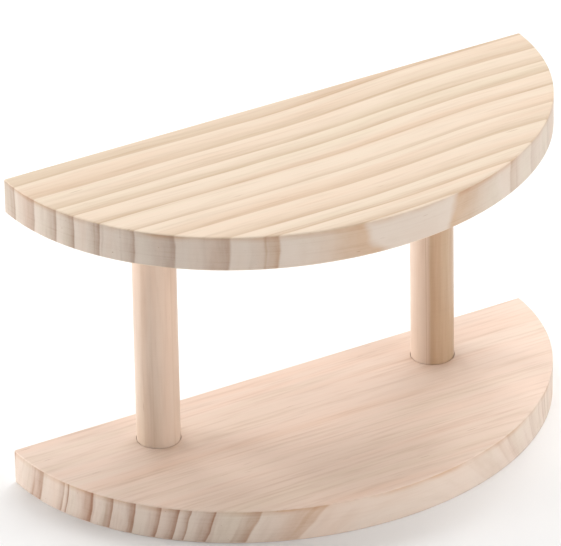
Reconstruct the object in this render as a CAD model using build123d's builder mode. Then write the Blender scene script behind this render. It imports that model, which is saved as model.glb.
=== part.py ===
import os

from build123d import *

# Two-tier display rack for eyeglasses: two equal half-ellipse pine boards held apart
# by two round pine posts. A countersunk wood screw comes up through the lower board
# into each post, and a dowel screw hides between each post and the upper board.
#
# Millimetres, +Z up. The origin is the centre of the footprint, on the surface that
# the rack stands on. +X runs along the straight back edges, and the curved fronts
# face -Y.

# Driving dimensions
shelf_length = 200.0
shelf_depth = 88.5
shelf_thickness = 12.5
corner_radius = 0.6
edge_easing = 0.5
tier_gap = 92.0
post_diameter = 15.0
post_spacing = 108.0
post_setback = 18.0
post_end_chamfer = 0.5
socket_diameter = 15.4
socket_depth = 4.0

# Base screws: 3.5 x 25 mm countersunk wood screws with a cross recess
base_screw_length = 25.0
base_thread_diameter = 3.5
base_root_diameter = 2.4
base_thread_pitch = 1.6
base_shank_diameter = 2.8
base_shank_length = 9.0
base_point_length = 4.0
head_diameter = 7.0
head_depth = 0.6
countersink_diameter = 8.2
clearance_hole_diameter = 4.0
drive_recess_length = 3.8
drive_recess_width = 0.9
drive_recess_depth = 1.4
drive_recess_taper = 14.0

# Dowel screws: 4 x 24 mm, threaded and pointed at both ends, plain in the middle
dowel_screw_length = 24.0
dowel_thread_diameter = 4.0
dowel_root_diameter = 2.8
dowel_thread_pitch = 1.8
dowel_plain_length = 3.0
dowel_point_length = 3.5
dowel_reach_into_shelf = 8.5

thread_crest_width = 0.12
thread_base_share = 0.5
thread_sunk_depth = 0.3
pilot_spare_depth = 1.0

# Places worked out from the driving dimensions
back_y = shelf_depth / 2
post_y = back_y - post_setback
post_bottom_z = shelf_thickness - socket_depth
upper_underside_z = shelf_thickness + tier_gap
post_length = upper_underside_z - post_bottom_z
post_places = {"left": -post_spacing / 2, "right": post_spacing / 2}
countersink_z = head_depth - (countersink_diameter - head_diameter) / 2
base_pilot_depth = head_depth + base_screw_length - post_bottom_z + pilot_spare_depth
dowel_screw_z = upper_underside_z + dowel_reach_into_shelf - dowel_screw_length / 2
shelf_pilot_depth = dowel_reach_into_shelf + pilot_spare_depth
post_pilot_depth = dowel_screw_length - dowel_reach_into_shelf + pilot_spare_depth


def board(bottom_z):
    """One plain board with eased edges, standing on the plane z = bottom_z."""
    with BuildPart() as blank:
        with BuildSketch(Plane.XY.offset(bottom_z)) as outline:
            with BuildLine():
                EllipticalCenterArc(
                    (0, back_y), shelf_length / 2, shelf_depth, 180, arc_size=180
                )
                Line((shelf_length / 2, back_y), (-shelf_length / 2, back_y))
            make_face()
            fillet(outline.vertices(), corner_radius)
        extrude(amount=shelf_thickness)
        levels = blank.edges().group_by(Axis.Z)
        fillet(levels[0] + levels[-1], edge_easing)
    return blank.part


def thread(root_diameter, thread_diameter, pitch, start_z, length):
    """A right-hand wood-screw thread about the Z axis, its foot sunk in the core."""
    crest = thread_diameter / 2
    foot = root_diameter / 2 - thread_sunk_depth - crest
    foot_half_width = thread_base_share * pitch / 2
    crest_half_width = thread_crest_width / 2
    with BuildPart() as ridge:
        with BuildLine() as path:
            Helix(pitch, length, crest, center=(0, 0, start_z))
        section = Plane(path.line @ 0, x_dir=(1, 0, 0), z_dir=path.line % 0)
        with BuildSketch(section):
            with BuildLine():
                Polyline(
                    (0, crest_half_width),
                    (foot, foot_half_width),
                    (foot, -foot_half_width),
                    (0, -crest_half_width),
                    close=True,
                )
            make_face()
        sweep(path=path.line, is_frenet=True)
    return ridge.part


# Base screw, with its head's face at z = 0 and its point up
from_bottom = (Align.CENTER, Align.CENTER, Align.MIN)
head_height = (head_diameter - base_shank_diameter) / 2
base_core_length = base_screw_length - base_shank_length - base_point_length
with BuildPart() as base_screw:
    with Locations((0, 0, base_shank_length)):
        Cylinder(base_root_diameter / 2, base_core_length, align=from_bottom)
    add(
        thread(
            base_root_diameter,
            base_thread_diameter,
            base_thread_pitch,
            base_shank_length + base_thread_pitch / 2,
            base_core_length - base_thread_pitch,
        )
    )
    with Locations((0, 0, base_screw_length - base_point_length)):
        Cone(base_root_diameter / 2, 0, base_point_length, align=from_bottom)
    Cylinder(base_shank_diameter / 2, base_shank_length, align=from_bottom)
    Cone(head_diameter / 2, base_shank_diameter / 2, head_height, align=from_bottom)
    with BuildSketch():
        Rectangle(drive_recess_length, drive_recess_width)
        Rectangle(drive_recess_width, drive_recess_length)
    extrude(amount=drive_recess_depth, taper=drive_recess_taper, mode=Mode.SUBTRACT)

# Dowel screw, with its middle at z = 0
dowel_core_length = dowel_screw_length - 2 * dowel_point_length
dowel_thread_length = (dowel_core_length - dowel_plain_length - dowel_thread_pitch) / 2
with BuildPart() as dowel_screw:
    Cylinder(dowel_root_diameter / 2, dowel_core_length)
    for start_z in (
        dowel_plain_length / 2,
        -dowel_plain_length / 2 - dowel_thread_length,
    ):
        add(
            thread(
                dowel_root_diameter,
                dowel_thread_diameter,
                dowel_thread_pitch,
                start_z,
                dowel_thread_length,
            )
        )
    with Locations((0, 0, dowel_core_length / 2)):
        Cone(dowel_root_diameter / 2, 0, dowel_point_length, align=from_bottom)
    with Locations(Location((0, 0, -dowel_core_length / 2), (180, 0, 0))):
        Cone(dowel_root_diameter / 2, 0, dowel_point_length, align=from_bottom)

# Lower board: a shallow socket for each post's foot, and a countersunk screw hole
# up into it from underneath
with BuildPart() as lower_shelf:
    add(board(0))
    for post_x in post_places.values():
        with Locations((post_x, post_y, shelf_thickness)):
            Hole(socket_diameter / 2, depth=socket_depth)
        with Locations(Location((post_x, post_y, countersink_z), (180, 0, 0))):
            CounterSinkHole(
                clearance_hole_diameter / 2,
                countersink_diameter / 2,
                depth=shelf_thickness,
                counter_sink_angle=90,
            )

# Upper board: only a blind pilot hole for each dowel screw, from underneath
with BuildPart() as upper_shelf:
    add(board(upper_underside_z))
    for post_x in post_places.values():
        with Locations(Location((post_x, post_y, upper_underside_z), (180, 0, 0))):
            Hole(dowel_root_diameter / 2, depth=shelf_pilot_depth)

# Post, standing on z = 0, with a pilot hole in each end
with BuildPart() as post:
    Cylinder(post_diameter / 2, post_length, align=from_bottom)
    chamfer(post.edges().filter_by(GeomType.CIRCLE), post_end_chamfer)
    with Locations((0, 0, post_length)):
        Hole(dowel_root_diameter / 2, depth=post_pilot_depth)
    with Locations(Location((0, 0, 0), (180, 0, 0))):
        Hole(base_root_diameter / 2, depth=base_pilot_depth)

os.makedirs("parts", exist_ok=True)

lower_shelf.part.label = "lower_shelf"
export_step(lower_shelf.part, "parts/lower_shelf.step")
upper_shelf.part.label = "upper_shelf"
export_step(upper_shelf.part, "parts/upper_shelf.step")

for side, post_x in post_places.items():
    with BuildPart() as placed_post:
        with Locations((post_x, post_y, post_bottom_z)):
            add(post.part)
    placed_post.part.label = side + "_post"
    export_step(placed_post.part, "parts/" + side + "_post.step")

    with BuildPart() as placed_base_screw:
        with Locations((post_x, post_y, head_depth)):
            add(base_screw.part)
    placed_base_screw.part.label = side + "_base_screw"
    export_step(placed_base_screw.part, "parts/" + side + "_base_screw.step")

    with BuildPart() as placed_dowel_screw:
        with Locations((post_x, post_y, dowel_screw_z)):
            add(dowel_screw.part)
    placed_dowel_screw.part.label = side + "_dowel_screw"
    export_step(placed_dowel_screw.part, "parts/" + side + "_dowel_screw.step")
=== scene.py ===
import math
from collections import namedtuple
from dataclasses import dataclass

import bpy
from mathutils import Matrix, Vector


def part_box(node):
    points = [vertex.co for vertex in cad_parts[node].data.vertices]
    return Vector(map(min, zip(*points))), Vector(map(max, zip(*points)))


# An eyeglass display rack of bare pine, on a white table in soft studio light.
# Lengths are in metres, except in the wood, which is worked out in millimetres.

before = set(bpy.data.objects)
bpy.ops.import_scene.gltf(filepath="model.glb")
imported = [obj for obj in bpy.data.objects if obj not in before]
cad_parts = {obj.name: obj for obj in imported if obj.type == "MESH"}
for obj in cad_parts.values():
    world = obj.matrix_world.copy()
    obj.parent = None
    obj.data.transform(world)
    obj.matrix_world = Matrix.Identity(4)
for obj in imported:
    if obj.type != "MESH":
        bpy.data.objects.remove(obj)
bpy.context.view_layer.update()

MM_PER_M = 1000.0

# The number of the axis that the fibres follow, and of the two across it
GRAIN_ALONG_X = (0, 1, 2)
GRAIN_ALONG_Z = (2, 0, 1)


class Graph:
    """One material's node graph. Most methods add nodes and give their output."""

    def __init__(self, name):
        self.material = bpy.data.materials.new(name)
        self.material.use_nodes = True
        self.tree = self.material.node_tree
        self.tree.nodes.clear()

    def node(self, kind, inputs=None, **settings):
        made = self.tree.nodes.new(kind)
        for key, value in settings.items():
            setattr(made, key, value)
        for key, value in (inputs or {}).items():
            if isinstance(value, bpy.types.NodeSocket):
                self.tree.links.new(value, made.inputs[key])
            else:
                made.inputs[key].default_value = value
        return made

    def math(self, operation, *values, clamp=False):
        inputs = dict(enumerate(values))
        made = self.node(
            "ShaderNodeMath", inputs, operation=operation, use_clamp=clamp
        )
        return made.outputs[0]

    def add(self, a, b):
        return self.math("ADD", a, b)

    def subtract(self, a, b):
        return self.math("SUBTRACT", a, b)

    def times(self, a, b):
        return self.math("MULTIPLY", a, b)

    def between(self, value, low, high, to_low=0.0, to_high=1.0, smooth=False):
        """value's place from low to high, mapped to to_low..to_high and held there."""
        made = self.node(
            "ShaderNodeMapRange",
            {0: value, 1: low, 2: high, 3: to_low, 4: to_high},
            interpolation_type="SMOOTHSTEP" if smooth else "LINEAR",
        )
        return made.outputs[0]

    def place_in_mm(self):
        """This point's X, Y and Z."""
        coordinates = self.node("ShaderNodeTexCoord").outputs["Object"]
        split = self.node("ShaderNodeSeparateXYZ", {0: coordinates})
        return tuple(self.times(value, MM_PER_M) for value in split.outputs)

    def pattern(self, place, pattern, seed=0.0):
        """Soft noise about 0, from about -0.5 to 0.5, over a place of three values."""
        scaled = [
            self.times(value, scale) for value, scale in zip(place, pattern.scales)
        ]
        point = self.node("ShaderNodeCombineXYZ", dict(enumerate(scaled))).outputs[0]
        made = self.node(
            "ShaderNodeTexNoise",
            {
                "Vector": point,
                "W": seed + pattern.seed,
                "Scale": 1.0,
                "Detail": pattern.detail,
                "Roughness": 0.5,
            },
            noise_dimensions="4D",
        )
        return self.subtract(made.outputs[0], 0.5)

    def ramp(self, value, stops):
        """A grey ramp through stops of (place, brightness)."""
        made = self.node("ShaderNodeValToRGB", {0: value})
        elements = made.color_ramp.elements
        while len(elements) < len(stops):
            elements.new(0.5)
        for element, (place, grey) in zip(elements, stops):
            element.position = place
            element.color = (grey, grey, grey, 1.0)
        return made.outputs[0]

    def steps(self, share, values):
        """Flat steps of equal width from 0 to 1, one for each of values."""
        stops = [(number / len(values), value) for number, value in enumerate(values)]
        made = self.ramp(share, stops)
        made.node.color_ramp.interpolation = "CONSTANT"
        return made

    def mix(self, share, a, b, blend="MIX"):
        made = self.node(
            "ShaderNodeMix", data_type="RGBA", blend_type=blend, clamp_factor=True
        )
        for socket, value in zip(
            (made.inputs[0], made.inputs[6], made.inputs[7]), (share, a, b)
        ):
            if isinstance(value, bpy.types.NodeSocket):
                self.tree.links.new(value, socket)
            else:
                socket.default_value = value
        return made.outputs[2]

    def bump(self, height, strength, distance):
        inputs = {"Height": height, "Strength": strength, "Distance": distance}
        return self.node("ShaderNodeBump", inputs).outputs[0]

    def finish(self, shader):
        self.node("ShaderNodeOutputMaterial", {0: shader.outputs[0]})
        return self.material


def rgb(red, green, blue):
    return (red, green, blue, 1.0)


# Linear colours of a growth ring's early and late wood, on planed and on sawn faces
Palette = namedtuple("Palette", "planed_early planed_late sawn_early sawn_late")
UPPER_PINE = Palette(
    rgb(0.757, 0.620, 0.487),
    rgb(0.560, 0.400, 0.265),
    rgb(0.648, 0.551, 0.469),
    rgb(0.380, 0.265, 0.200),
)
LOWER_PINE = Palette(
    rgb(0.775, 0.620, 0.522),
    rgb(0.580, 0.395, 0.265),
    rgb(0.707, 0.591, 0.505),
    rgb(0.345, 0.178, 0.107),
)
POST_PINE = Palette(
    rgb(0.645, 0.502, 0.402),
    rgb(0.485, 0.330, 0.210),
    rgb(0.597, 0.464, 0.373),
    rgb(0.420, 0.270, 0.180),
)
# Late wood on a sawn side that runs along the fibres, and the resin in its canals
TANGENTIAL_LATE = rgb(0.550, 0.370, 0.240)
RESIN = rgb(0.30, 0.14, 0.06)
# Colours that the wood's own is multiplied by. The fifth is painted shade, darker and more
# orange, under a board's rounded top edge
WARM_TINT = rgb(1.0, 0.95, 0.92)
COOL_TINT = rgb(0.96, 0.98, 0.95)
STREAK = rgb(0.80, 0.73, 0.68)
SAW_MARK = rgb(0.80, 0.72, 0.68)
ARRIS_PAINTED_SHADE = rgb(0.84, 0.67, 0.53)
PORE = rgb(0.55, 0.42, 0.36)
# Zinc plate, and what the table top is painted with
BRIGHT_ZINC = rgb(0.62, 0.60, 0.55)
DULL_ZINC = rgb(0.48, 0.45, 0.40)
WHITE_PAINT = rgb(0.9, 0.9, 0.9)

# A noise pattern: its cycles per millimetre in three directions, what it adds to the
# piece's seed, and how many finer layers it has
Pattern = namedtuple("Pattern", "scales seed detail", defaults=(2.0,))
# Along the grain, and in the two directions across it
SLOW_WANDER = Pattern((0.006, 0.02, 0.02), 0.0)
QUICK_WANDER = Pattern((0.02, 0.10, 0.10), 3.0)
FRAY = Pattern((0.03, 0.6, 0.15), 13.0)
FIBRES = Pattern((0.04, 3.0, 3.0), 29.0, 3.0)
PORES = Pattern((5.0, 5.0, 5.0), 37.0)
RESIN_CANALS = Pattern((0.09, 1.7, 1.7), 43.0, 0.0)
# Along the grain, across the rings, and along the last axis
STREAKS = Pattern((0.045, 0.85, 0.10), 19.0, 4.0)
LINES = Pattern((0.006, 0.7, 0.03), 21.0, 1.0)
BANDS = Pattern((0.003, 0.30, 0.02), 23.0, 1.0)
TINT = Pattern((0.008, 0.16, 0.03), 31.0)
# Along X, Y and Z. The first sets the patches of painted shade under a board's top edge
ARRIS_SHADE_PATCHES = Pattern((0.06, 0.06, 0.2), 33.0)
SAW_MARKS = Pattern((0.03, 0.03, 1.5), 41.0, 3.0)
DULL_PATCHES = Pattern((0.5, 0.5, 0.5), 3.0, 4.0)
TURNING_MARKS = Pattern((2.0, 2.0, 14.0), 5.0, 3.0)

# The noise at which each pattern starts to show, and at which it shows in full
STREAKS_SHOW = (-0.05, 0.22)
LINES_SHOW = (0.10, 0.26)
WARM_TINT_SHOWS = (0.0, 0.22)
COOL_TINT_SHOWS = (0.0, -0.22)
ARRIS_SHADE_SHOWS = (-0.15, 0.15)
SAW_MARKS_SHOW = (0.0, 0.22)
PORES_SHOW = (0.08, 0.3)
CANALS_SHOW = (0.31, 0.36)
DULL_PATCHES_SHOW = (-0.2, 0.2)

# How dark each pattern makes the wood. The two for streaks are in pale and in dark wood
BAND_STRENGTH = 0.22
LINE_STRENGTH = 0.22
STREAK_STRENGTH = (0.22, 0.75)
FIBRE_STRENGTH = 0.14
PORE_STRENGTH = 0.25
CANAL_STRENGTH = 0.5
SAWN_MARK_STRENGTH = 0.5
TURNED_MARK_STRENGTH = 0.12
# What is left of the marks in pale wood, and how dark wood is where they show in full
PALE_MARK_SHARE = 0.3
FULL_MARKS_FROM = 0.8
# What is left of the streaks on a sawn face
SAWN_STREAK_SHARE = 0.4
# How much painted shade is left under the top edge between its patches
LEAST_ARRIS_SHADE = 0.1

# How far each stands proud or is sunk, as a share of the relief
LATE_RELIEF = 0.3
FIBRE_RELIEF = 0.6
MARK_RELIEF = 0.5
PORE_RELIEF = 0.8
# How strongly relief turns the light, and its depth in metres
WOOD_BUMP = (0.35, 0.0001)
STEEL_BUMP = (0.3, 0.00003)

# Roughness of early and of late wood, what fibres and a sawn face add to it, and what
# burnishing takes off it and adds to the shine
WOOD_ROUGHNESS = (0.60, 0.48)
FIBRE_ROUGHNESS = 0.12
SAWN_ROUGHNESS = 0.12
BURNISHED_ROUGHNESS = 0.3
WOOD_SHINE = 0.35
BURNISHED_SHINE = 0.5
# Roughness of the steel, and what its dull patches add
STEEL_ROUGHNESS = 0.36
DULL_ROUGHNESS = 0.3

# A double ring's first line, as stops of (place in the ring, darkness)
EARLY_LINE = ((0.0, 0.0), (0.62, 0.0), (0.72, 0.8), (0.80, 0.0), (1.0, 0.0))
# Where in a ring its late wood turns back to pale
LATE_WOOD_ENDS = (0.94, 1.0)
# A colour ramp holds numbers up to 1, so it holds each steepness as a share of this
STEEPEST = 20.0

# Places along X where a board's rings start and stop drifting back, and places along Y
# where they start to lean and lean in full
DRIFT_X = (-10.0, 70.0)
LEAN_Y = (-10.0, -40.0)
# How much of a board's ring pattern is left at the right end of its rim
RIM_LEFT_AFTER_FADE = 0.3
# How far the rings fray at fibre scale, in millimetres, how much of their wander is
# quick, and what sets their wander along the second axis apart
FRAY_DEPTH = 0.6
QUICK_SHARE = 0.3
SECOND_AXIS_SEED = 7.0
# How far under a board's top its rim has the painted shade in full, and where that painted
# shade ends
ARRIS_SHADE_DEPTH = (0.5, 2.4)
# How far a face points up or down, as a sine, where it starts to count as a side and
# where it fully does
SIDE_TILT = (0.5, 0.15)
# How far a sawn face lies across the fibres, as a sine, where its late wood starts to
# take the colour that it has on an end and where it has it in full
END_TURN = (0.2, 0.6)

# One growth ring: its width in millimetres, how dark its late wood gets, how steeply
# it darkens (low for a wide band, high for a thin line), and how double the band is
Ring = namedtuple("Ring", "width darkness steepness doubled", defaults=(0.0,))


@dataclass
class Cut:
    """How one piece was cut from its log, in millimetres.

    pith is where the pith crosses the grain's two cross axes, and the first of rings
    starts at first_radius from it. planed and sawn say how strongly the rings show on
    each kind of face, streaks how strongly the streaks do, and wander how far the rings
    stray. drift is how far back the rings have moved by the right end. lean is how far
    forward they slant at the front, per millimetre of height above lean_height. The
    rings fade on a board's rim between the two places along X that fade gives.
    smoothness is how far the piece is burnished.
    """

    palette: Palette
    grain: tuple
    pith: tuple
    first_radius: float
    rings: tuple
    seed: float
    planed: float
    sawn: float
    streaks: float
    wander: float
    drift: float = 0.0
    lean: float = 0.0
    lean_height: float = 0.0
    fade: tuple = (0.0, 1.0)
    smoothness: float = 0.0


def ring_phase(g, cut, radius):
    """How many rings lie inside radius, as a share of all of the piece's rings."""
    edges = [cut.first_radius]
    for ring in cut.rings:
        edges.append(edges[-1] + ring.width)
    low, high = edges[0], edges[-1]
    count = len(cut.rings)
    curve = g.node("ShaderNodeFloatCurve", {"Value": g.between(radius, low, high)})
    points = curve.mapping.curves[0].points
    for number, edge in enumerate(edges[1:-1], start=1):
        points.new((edge - low) / (high - low), number / count)
    for point in points:
        point.handle_type = "VECTOR"
    curve.mapping.update()
    return curve.outputs[0]


def pith_distance(g, cut, place):
    """Distance from the pith. The rings wander along the trunk and fray at fibre scale."""
    squares = []
    for number, (value, centre) in enumerate(zip(place[1:], cut.pith)):
        seed = cut.seed + SECOND_AXIS_SEED * number
        slow = g.times(g.pattern(place, SLOW_WANDER, seed), cut.wander)
        quick = g.pattern(place, QUICK_WANDER, seed)
        shift = g.add(slow, g.times(quick, QUICK_SHARE * cut.wander))
        offset = g.subtract(g.add(value, shift), centre)
        squares.append(g.times(offset, offset))
    radius = g.math("SQRT", g.add(*squares))
    fray = g.pattern(place, FRAY, cut.seed)
    radius = g.add(radius, g.times(fray, FRAY_DEPTH))
    if cut.drift:
        drift = g.between(place[0], *DRIFT_X, 0.0, cut.drift, smooth=True)
        radius = g.add(radius, drift)
    if cut.lean:
        height = g.subtract(place[2], cut.lean_height)
        lean = g.times(height, g.between(place[1], *LEAN_Y, 0.0, -cut.lean))
        radius = g.add(radius, lean)
    return radius


def ring_darkness(g, cut, phase):
    """How dark the ring is here. Its very end turns back to pale wood."""
    count = float(len(cut.rings))
    in_ring = g.math("FRACT", g.times(phase, count))
    steepness = g.steps(phase, [ring.steepness / STEEPEST for ring in cut.rings])
    darkness = g.steps(phase, [ring.darkness for ring in cut.rings])
    doubled = g.steps(phase, [ring.doubled for ring in cut.rings])
    rise = g.math("POWER", in_ring, g.times(steepness, STEEPEST))
    fall = g.between(in_ring, *LATE_WOOD_ENDS, 1.0, 0.0, smooth=True)
    early_line = g.times(g.ramp(in_ring, EARLY_LINE), doubled)
    return g.times(g.math("MAXIMUM", g.times(rise, fall), early_line), darkness)


class Wood:
    """Where each point of a piece lies in its wood, which way it faces, and its fibres."""

    def __init__(self, g, cut, is_board):
        self.is_board = is_board
        self.plain_place = g.place_in_mm()
        # Along the grain first, then in the two directions across it
        self.place = tuple(self.plain_place[axis] for axis in cut.grain)
        self.radius = pith_distance(g, cut, self.place)
        self.ring_place = (self.place[0], self.radius, self.place[2])
        geometry = g.node("ShaderNodeNewGeometry")
        normal = g.node("ShaderNodeSeparateXYZ", {0: geometry.outputs["Normal"]})
        self.end_grain = g.math("ABSOLUTE", normal.outputs[cut.grain[0]])
        facing_up = g.math("ABSOLUTE", normal.outputs[2])
        self.on_side = g.between(facing_up, *SIDE_TILT, smooth=True)
        # Only a board is sawn all round its side
        self.sawn = self.on_side if is_board else self.end_grain
        # Streaks lie in the rings, thin along the radius
        self.streaks = g.pattern(self.ring_place, STREAKS, cut.seed)
        self.fibres = g.pattern(self.place, FIBRES, cut.seed)


def late_share(g, cut, wood):
    """How much of the wood is dark late wood: its rings, and the fibres in them."""
    rings = ring_darkness(g, cut, ring_phase(g, cut, wood.radius))
    sawn_strength = cut.sawn
    if wood.is_board:
        faded = RIM_LEFT_AFTER_FADE * cut.sawn
        sawn_strength = g.between(wood.place[0], *cut.fade, cut.sawn, faded, smooth=True)
    late = g.times(rings, g.between(wood.sawn, 0.0, 1.0, cut.planed, sawn_strength))
    lines = g.pattern(wood.ring_place, LINES, cut.seed)
    bands = g.pattern(wood.ring_place, BANDS, cut.seed)
    late = g.add(late, g.times(bands, BAND_STRENGTH))
    late = g.add(late, g.between(lines, *LINES_SHOW, 0.0, LINE_STRENGTH, smooth=True))
    late = g.add(late, g.times(wood.streaks, g.between(late, 0.0, 1.0, *STREAK_STRENGTH)))
    return g.math("ADD", late, g.times(wood.fibres, FIBRE_STRENGTH), clamp=True)


def arris_shade_share(g, cut, wood, rim_top):
    """How much painted shade of the rounded top edge the rim gets, in patches, just under
    its arris.
    """
    depth = g.subtract(rim_top, wood.plain_place[2])
    patches = g.pattern(wood.plain_place, ARRIS_SHADE_PATCHES, cut.seed)
    near_top = g.between(depth, *ARRIS_SHADE_DEPTH, 1.0, 0.0)
    patchy = g.between(patches, *ARRIS_SHADE_SHOWS, LEAST_ARRIS_SHADE, 1.0)
    return g.times(g.times(near_top, patchy), wood.on_side)


def pine(name, cut, rim_top=None):
    """Bare pine: growth rings about a pith line, fibres, resin canals, saw marks, and
    painted shade under a board's rounded top edge.

    rim_top is the height of the upper face of a board that is sawn round its rim.
    """
    g = Graph(name)
    wood = Wood(g, cut, is_board=rim_top is not None)
    late = late_share(g, cut, wood)

    # Saw or lathe marks run level round the sides, and show most in the dense wood
    marks = g.pattern(wood.plain_place, SAW_MARKS, cut.seed)
    marked = g.times(wood.on_side, g.between(marks, *SAW_MARKS_SHOW))
    full = SAWN_MARK_STRENGTH if wood.is_board else TURNED_MARK_STRENGTH
    strength = g.between(late, 0.0, FULL_MARKS_FROM, PALE_MARK_SHARE * full, full)
    mark_share = g.times(marked, strength)

    # Pores show on end grain, and resin canals as short thin dashes along the grain
    pores = g.pattern(wood.place, PORES, cut.seed)
    pore_share = g.times(
        wood.end_grain, g.between(pores, *PORES_SHOW, 0.0, PORE_STRENGTH)
    )
    canals = g.pattern(wood.place, RESIN_CANALS, cut.seed)
    canal_share = g.between(canals, *CANALS_SHOW, 0.0, CANAL_STRENGTH, smooth=True)

    # Colour
    planed = g.mix(late, cut.palette.planed_early, cut.palette.planed_late)
    across_fibres = g.between(wood.end_grain, *END_TURN)
    sawn_late = g.mix(across_fibres, TANGENTIAL_LATE, cut.palette.sawn_late)
    sawn = g.mix(late, cut.palette.sawn_early, sawn_late)
    colour = g.mix(wood.sawn, planed, sawn)
    tint = g.pattern(wood.ring_place, TINT, cut.seed)
    colour = g.mix(g.between(tint, *WARM_TINT_SHOWS), colour, WARM_TINT, "MULTIPLY")
    colour = g.mix(g.between(tint, *COOL_TINT_SHOWS), colour, COOL_TINT, "MULTIPLY")
    on_sawn = SAWN_STREAK_SHARE * cut.streaks
    strength = g.between(wood.sawn, 0.0, 1.0, cut.streaks, on_sawn)
    streaked = g.between(wood.streaks, *STREAKS_SHOW, smooth=True)
    streak_share = g.times(streaked, strength)
    colour = g.mix(streak_share, colour, STREAK, "MULTIPLY")
    colour = g.mix(mark_share, colour, SAW_MARK, "MULTIPLY")
    if wood.is_board:
        # Painted shade just under the rounded top edge: the rim is made darker and more
        # orange there, in patches
        arris_shade = arris_shade_share(g, cut, wood, rim_top)
        colour = g.mix(arris_shade, colour, ARRIS_PAINTED_SHADE, "MULTIPLY")
    colour = g.mix(pore_share, colour, PORE, "MULTIPLY")
    colour = g.mix(canal_share, colour, RESIN)

    # Relief: late wood and fibres stand proud, and saw marks and pores are sunk
    relief = g.add(g.times(late, LATE_RELIEF), g.times(wood.fibres, FIBRE_RELIEF))
    relief = g.subtract(relief, g.times(marked, MARK_RELIEF))
    relief = g.subtract(relief, g.times(pore_share, PORE_RELIEF))

    # Late wood is a little shinier, and sawn faces are duller
    dullness = g.between(late, 0.0, 1.0, *WOOD_ROUGHNESS)
    dullness = g.add(g.times(wood.fibres, FIBRE_ROUGHNESS), dullness)
    dullness = g.subtract(dullness, BURNISHED_ROUGHNESS * cut.smoothness)
    on_sawn = g.times(wood.sawn, SAWN_ROUGHNESS)
    shader = g.node(
        "ShaderNodeBsdfPrincipled",
        {
            "Base Color": colour,
            "Roughness": g.math("ADD", dullness, on_sawn, clamp=True),
            "Specular IOR Level": WOOD_SHINE + BURNISHED_SHINE * cut.smoothness,
            "Normal": g.bump(relief, *WOOD_BUMP),
        },
    )
    return g.finish(shader)


def screw_steel():
    """Zinc-plated steel: fine turning marks and dull patches."""
    g = Graph("zinc_plated_steel")
    place = g.place_in_mm()
    patches = g.pattern(place, DULL_PATCHES)
    marks = g.pattern(place, TURNING_MARKS)
    dull = g.between(patches, *DULL_PATCHES_SHOW)
    shader = g.node(
        "ShaderNodeBsdfPrincipled",
        {
            "Base Color": g.mix(dull, BRIGHT_ZINC, DULL_ZINC),
            "Metallic": 1.0,
            "Roughness": g.add(g.times(patches, DULL_ROUGHNESS), STEEL_ROUGHNESS),
            "Normal": g.bump(marks, *STEEL_BUMP),
        },
    )
    return g.finish(shader)


def dress(node, material):
    """Gives a CAD piece its finished material."""
    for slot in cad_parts[node].material_slots:
        slot.material = material


def upper_board_cut(low, high):
    """Quarter-sawn, with the pith far behind the straight back edge."""
    return Cut(
        UPPER_PINE,
        GRAIN_ALONG_X,
        (high.y + 95.0, low.z + 6.0),
        79.5,
        (
            Ring(12.0, 0.8, 1.5),
            Ring(11.0, 0.9, 1.5),
            Ring(10.3, 0.9, 1.5),
            Ring(9.5, 0.9, 2.2),
            Ring(7.0, 1.0, 2.0, 0.6),
            Ring(8.9, 1.0, 3.0),
            Ring(10.2, 1.0, 5.0),
            Ring(9.9, 0.9, 2.0),
            Ring(10.9, 1.0, 2.8),
            Ring(7.0, 1.0, 2.5, 1.0),
            Ring(7.3, 1.0, 2.2),
            Ring(9.0, 0.6, 4.0),
        ),
        seed=11.0,
        planed=1.0,
        sawn=1.0,
        streaks=0.25,
        wander=2.5,
        drift=5.0,
        fade=(30.0, 70.0),
    )


def lower_board_cut(low, high):
    """Its pith is nearer and higher than the upper board's, so its rings lean forward."""
    return Cut(
        LOWER_PINE,
        GRAIN_ALONG_X,
        (high.y + 60.0, high.z + 8.0),
        52.0,
        (
            Ring(10.0, 0.7, 4.0),
            Ring(16.2, 0.8, 2.8, 0.9),
            Ring(9.3, 0.8, 6.0),
            Ring(1.5, 1.0, 2.0),
            Ring(9.8, 1.0, 2.6),
            Ring(6.4, 1.0, 3.0, 0.6),
            Ring(6.9, 1.0, 3.0),
            Ring(6.4, 1.0, 4.0),
            Ring(4.2, 1.0, 2.0),
            Ring(2.5, 0.9, 2.0),
            Ring(4.9, 0.9, 2.0, 0.6),
            Ring(7.4, 0.9, 3.0),
            Ring(7.6, 0.65, 1.3),
            Ring(8.0, 0.4, 3.0),
        ),
        seed=23.0,
        planed=0.18,
        sawn=1.0,
        streaks=0.45,
        wander=2.5,
        lean=0.19,
        lean_height=high.z - 6.0,
        fade=(-20.0, 30.0),
    )


def post_cut(low, high, first_radius, rings, seed, darkness):
    """Turned from wood whose pith lay to its right and in front."""
    centre = (low + high) / 2
    return Cut(
        POST_PINE,
        GRAIN_ALONG_Z,
        (centre.x + 35.0, centre.y - 20.0),
        first_radius,
        rings,
        seed,
        planed=darkness,
        sawn=darkness,
        streaks=0.3,
        wander=1.0,
        smoothness=0.5,
    )


def box_in_mm(node):
    """A CAD piece's lowest and highest corners."""
    return tuple(corner * MM_PER_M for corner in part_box(node))


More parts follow.
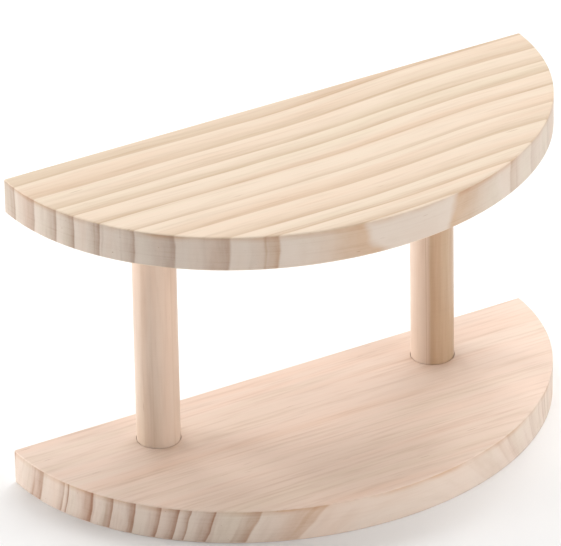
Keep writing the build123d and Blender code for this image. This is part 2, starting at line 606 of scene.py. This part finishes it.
def dress_rack():
    """The finished materials of the boards, posts and screws."""
    low, high = box_in_mm("upper_shelf")
    upper = upper_board_cut(low, high)
    dress("upper_shelf", pine("upper_board_wood", upper, rim_top=high.z))
    low, high = box_in_mm("lower_shelf")
    lower = lower_board_cut(low, high)
    dress("lower_shelf", pine("lower_board_wood", lower, rim_top=high.z))
    left_rings = (
        Ring(5.4, 0.9, 8.0),
        Ring(10.2, 0.9, 8.0),
        Ring(9.0, 0.8, 8.0),
        Ring(8.0, 0.8, 8.0),
    )
    left = post_cut(*box_in_mm("left_post"), 30.0, left_rings, 5.0, 0.45)
    dress("left_post", pine("left_post_wood", left))
    right_rings = (
        Ring(30.0, 1.0, 0.0),
        Ring(10.0, 0.8, 4.0),
        Ring(9.0, 0.8, 4.0),
    )
    right = post_cut(*box_in_mm("right_post"), 12.9, right_rings, 8.0, 1.0)
    dress("right_post", pine("right_post_wood", right))
    steel = screw_steel()
    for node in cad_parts:
        if node.endswith("_screw"):
            dress(node, steel)


# How far the table top reaches each way from the rack
FLOOR_REACH = 6.0


def build_floor():
    """A plain white table top far wider than the view."""
    mesh = bpy.data.meshes.new("floor")
    signs = ((-1, -1), (1, -1), (1, 1), (-1, 1))
    corners = [(x * FLOOR_REACH, y * FLOOR_REACH, 0.0) for x, y in signs]
    mesh.from_pydata(corners, [], [(0, 1, 2, 3)])
    floor = bpy.data.objects.new("floor", mesh)
    bpy.context.scene.collection.objects.link(floor)
    g = Graph("floor_paint")
    shader = g.node(
        "ShaderNodeBsdfPrincipled",
        {"Base Color": WHITE_PAINT, "Roughness": 0.9, "Specular IOR Level": 0.1},
    )
    mesh.materials.append(g.finish(shader))


# Each softbox's name, bearing and elevation in degrees, and power in watts. Bearings
# go clockwise from straight behind the rack
SOFTBOXES = (
    ("behind_left", 315.0, 12.0, 22.8),
    ("behind", 0.0, 45.0, 8.4),
    ("behind_right", 45.0, 45.0, 7.4),
    ("right", 90.0, 72.0, 11.5),
    ("front_right", 135.0, 12.0, 14.1),
    ("front_left", 225.0, 12.0, 7.5),
)
SOFTBOX_SIZE = 0.8
SOFTBOX_DISTANCE = 1.6
RACK_MIDDLE = Vector((0.0, 0.0, 0.06))
SURROUND_STRENGTH = 0.1


def softbox(name, bearing, elevation, power):
    """A square soft light that faces the rack."""
    bearing, elevation = math.radians(bearing), math.radians(elevation)
    outward = Vector(
        (
            math.sin(bearing) * math.cos(elevation),
            math.cos(bearing) * math.cos(elevation),
            math.sin(elevation),
        )
    )
    light = bpy.data.lights.new(name, "AREA")
    light.shape = "SQUARE"
    light.size = SOFTBOX_SIZE
    light.energy = power
    lamp = bpy.data.objects.new(name, light)
    lamp.location = RACK_MIDDLE + outward * SOFTBOX_DISTANCE
    lamp.rotation_mode = "QUATERNION"
    lamp.rotation_quaternion = outward.to_track_quat("Z", "Y")
    bpy.context.scene.collection.objects.link(lamp)


def build_lights():
    """Softboxes all round, the strongest low behind the left, in a faint surround."""
    for settings in SOFTBOXES:
        softbox(*settings)
    world = bpy.data.worlds.new("surround")
    world.use_nodes = True
    background = world.node_tree.nodes["Background"]
    background.inputs["Color"].default_value = rgb(1.0, 1.0, 1.0)
    background.inputs["Strength"].default_value = SURROUND_STRENGTH
    bpy.context.scene.world = world


# The camera's target and distance from it, and its turn from the front to the right,
# its rise and its roll
CAMERA_TARGET = Vector((-0.0179, 0.0043, 0.0764))
CAMERA_DISTANCE = 2.446
CAMERA_AZIMUTH = math.radians(-29.36)
CAMERA_ELEVATION = math.radians(29.53)
CAMERA_ROLL = math.radians(-1.0)
SENSOR_WIDTH_MM = 36.0
FOCAL_LENGTH_MM = 469.5


def build_camera():
    """A long lens that looks down from the front left, tipped slightly."""
    azimuth, elevation, roll = CAMERA_AZIMUTH, CAMERA_ELEVATION, CAMERA_ROLL
    back = Vector(
        (
            math.sin(azimuth) * math.cos(elevation),
            -math.cos(azimuth) * math.cos(elevation),
            math.sin(elevation),
        )
    )
    level_right = Vector((math.cos(azimuth), math.sin(azimuth), 0.0))
    level_up = back.cross(level_right)
    right = level_right * math.cos(roll) + level_up * math.sin(roll)
    up = level_up * math.cos(roll) - level_right * math.sin(roll)
    data = bpy.data.cameras.new("camera")
    data.sensor_width = SENSOR_WIDTH_MM
    data.lens = FOCAL_LENGTH_MM
    data.clip_start = 0.1
    data.clip_end = 30.0
    camera = bpy.data.objects.new("camera", data)
    place = CAMERA_TARGET + back * CAMERA_DISTANCE
    turn = Matrix((right, up, back)).transposed().to_4x4()
    camera.matrix_world = Matrix.Translation(place) @ turn
    bpy.context.scene.collection.objects.link(camera)
    bpy.context.scene.camera = camera


bpy.context.scene.view_settings.view_transform = "Standard"
dress_rack()
build_floor()
build_lights()
build_camera()
